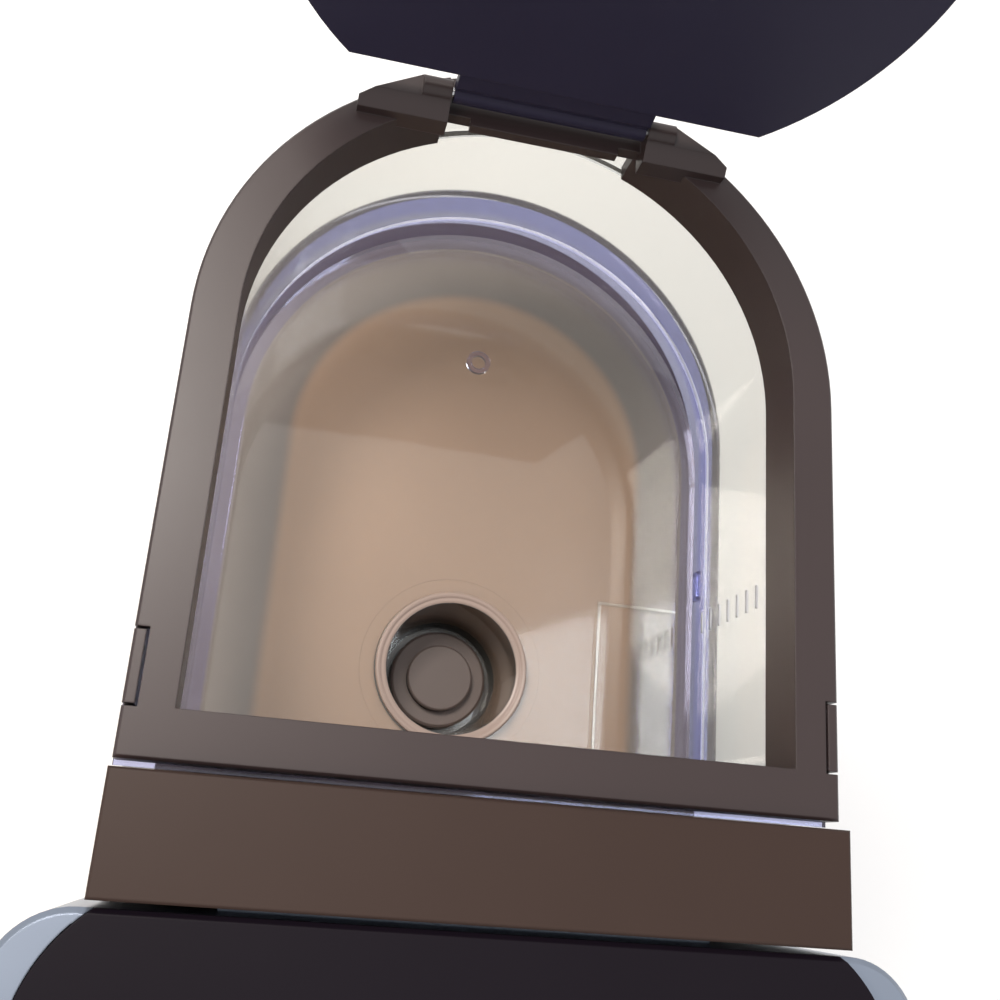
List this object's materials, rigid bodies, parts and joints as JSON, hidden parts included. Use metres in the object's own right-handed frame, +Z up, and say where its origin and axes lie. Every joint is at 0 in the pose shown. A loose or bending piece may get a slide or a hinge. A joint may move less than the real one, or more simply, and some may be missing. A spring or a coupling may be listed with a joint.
{
  "type": "pod coffee maker",
  "caption": "Narrow single-cup pod coffee maker with a clear rear water tank under a hinged lid, a wider brew head with a lifting lid, push buttons and a pull-out drip tray.",
  "frame": {"origin": "centre of the model's bounding box in plan, on the counter under the feet, with the tank lid open", "axes": "+Z up; -Y towards the front, where the drip tray is; +X to the right when looking along +Y from the front"},
  "size_m": [0.158, 0.3237, 0.4098],
  "materials": {
    "clear_tank": "clear moulded plastic",
    "dark_satin": "satin moulded plastic",
    "black_gloss": "satin black",
    "silver": "silver paint",
    "steel": "bright",
    "rubber": "matte",
    "silicone": "translucent",
    "grey_plastic": "fine texture",
    "board": "solder mask",
    "key": "satin"
  },
  "bodies": {
    "machine": {"tank_cradle": "dark_satin", "dock_nipple": "grey_plastic", "dock_seal": "rubber", "rear_housing": "dark_satin", "spine_housing": "dark_satin", "strip_cover": "dark_satin", "base_housing": "dark_satin", "cord_gland": "rubber", "base_plate": "dark_satin", "feet": "rubber", "base_screws": "steel", "head_housing": "silver", "head_deck": "black_gloss", "button_bezels": "silver", "keypad": "silicone", "key_board": "board", "board_bracket": "grey_plastic", "chamber_deck": "black_gloss", "pod_holder": "black_gloss", "exit_needle": "steel", "spout": "grey_plastic", "jaw_pin": "steel", "jaw_posts": "grey_plastic", "pump": "grey_plastic", "pump_mounts": "rubber", "heater": "steel", "heater_stand": "grey_plastic", "control_board": "board", "board_clips": "grey_plastic", "suction_hose": "silicone", "pressure_hose": "silicone", "brew_hose": "silicone"},
    "tank": {"tank_shell": "clear_tank", "tank_collar": "dark_satin", "hinge_pin": "steel", "valve_body": "grey_plastic", "valve_spring": "steel"},
    "tank_lid": {"tank_lid": "dark_satin"},
    "valve": {"valve_poppet": "grey_plastic", "valve_seal": "rubber"},
    "brew_lid": {"brew_lid": "black_gloss", "lid_band": "silver", "jaw_disc": "grey_plastic", "jaw_gasket": "rubber", "entry_needle": "steel"},
    "drip_tray": {"drip_tray": "dark_satin"},
    "drip_grate": {"drip_grate": "steel"},
    "button_power": {"button_power": "key"},
    "button_small": {"button_small": "key"},
    "button_medium": {"button_medium": "key"},
    "button_large": {"button_large": "key"}
  },
  "joints": [
    {"name": "tank_lift", "type": "slide", "parent": "machine", "child": "tank", "axis": [0, 0, 1], "range_m": [0, 0.09]},
    {"name": "tank_lid_hinge", "type": "hinge", "parent": "tank", "child": "tank_lid", "pos_m": [0, 0.13696, 0.276], "axis": [1, 0, 0], "range_deg": [0, 100]},
    {"name": "valve_lift", "type": "slide", "parent": "tank", "child": "valve", "axis": [0, 0, 1], "range_m": [0, 0.003], "stiffness_N_per_m": 60, "springref_m": -0.006, "deforming": ["valve_spring"]},
    {"name": "brew_lid_hinge", "type": "hinge", "parent": "machine", "child": "brew_lid", "pos_m": [0, -0.08524, 0.2665], "axis": [-1, 0, 0], "range_deg": [0, 65]},
    {"name": "drip_tray_slide", "type": "slide", "parent": "machine", "child": "drip_tray", "axis": [0, -1, 0], "range_m": [0, 0.1]},
    {"name": "drip_grate_lift", "type": "slide", "parent": "drip_tray", "child": "drip_grate", "axis": [0, 0, 1], "range_m": [0, 0.04]},
    {"name": "button_power_press", "type": "slide", "parent": "machine", "child": "button_power", "axis": [0, 0, -1], "range_m": [0, 0.0012], "stiffness_N_per_m": 350, "springref_m": -0.0012},
    {"name": "button_small_press", "type": "slide", "parent": "machine", "child": "button_small", "axis": [0, 0, -1], "range_m": [0, 0.0012], "stiffness_N_per_m": 350, "springref_m": -0.0012},
    {"name": "button_medium_press", "type": "slide", "parent": "machine", "child": "button_medium", "axis": [0, 0, -1], "range_m": [0, 0.0012], "stiffness_N_per_m": 350, "springref_m": -0.0012},
    {"name": "button_large_press", "type": "slide", "parent": "machine", "child": "button_large", "axis": [0, 0, -1], "range_m": [0, 0.0012], "stiffness_N_per_m": 350, "springref_m": -0.0012}
  ]
}
